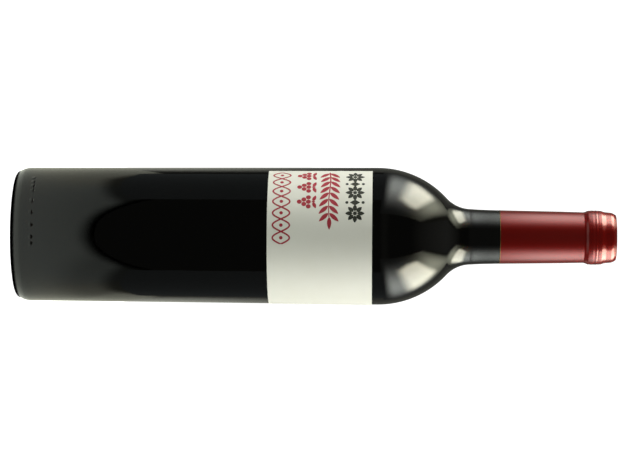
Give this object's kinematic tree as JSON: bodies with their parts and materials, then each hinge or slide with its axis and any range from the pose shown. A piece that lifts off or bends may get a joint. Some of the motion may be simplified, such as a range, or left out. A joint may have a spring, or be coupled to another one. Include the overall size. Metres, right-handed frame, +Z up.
{
  "type": "wine bottle",
  "caption": "Tall tapered bottle of dark glass filled with red wine, with a deep punt, a paper label round the upper body and a red capsule over the neck.",
  "frame": {"origin": "centre of the bearing ring under the base, on the surface the bottle stands on", "axes": "+Z up along the bottle's axis from base to mouth, -Y towards the side of the label that the picture shows"},
  "size_m": [0.0758, 0.0758, 0.33],
  "materials": {
    "dark_glass": "polished",
    "red_wine": "clear liquid",
    "capsule_foil": "satin",
    "label_paper": "matt"
  },
  "bodies": {
    "root": {"glass_bottle": "dark_glass", "wine": "red_wine", "capsule": "capsule_foil", "label": "label_paper"}
  },
  "joints": []
}
